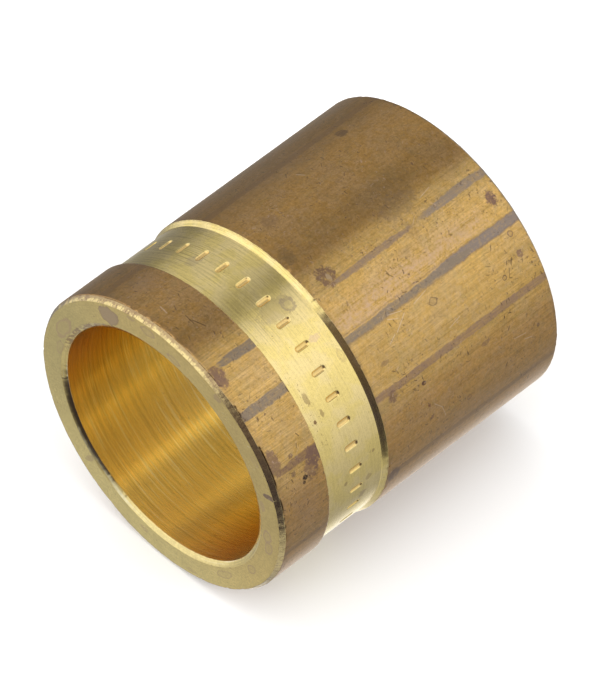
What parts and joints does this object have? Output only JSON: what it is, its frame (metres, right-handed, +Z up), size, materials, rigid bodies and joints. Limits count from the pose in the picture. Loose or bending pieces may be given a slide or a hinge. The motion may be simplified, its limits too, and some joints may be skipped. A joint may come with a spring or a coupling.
{
  "type": "pipe press sleeve",
  "caption": "Plain metal press sleeve: a short bored ring with chamfered ends and a shallow skimmed band of engraved ticks near one end, pressed over an expanded plastic pipe.",
  "frame": {"origin": "centre of the bore at half the sleeve's length", "axes": "+Y runs along the bore from the marked collar end to the plain end, +Z is up with the sleeve lying on its side, and the first tick is 7 degrees from +X towards +Z"},
  "size_m": [0.026, 0.0294, 0.026],
  "materials": {
    "brass": "drawn skin tarnished brown-gold with grey lengthwise streaks; turned band, end faces and bore bright"
  },
  "bodies": {
    "root": {"press_sleeve": "brass"}
  },
  "joints": []
}
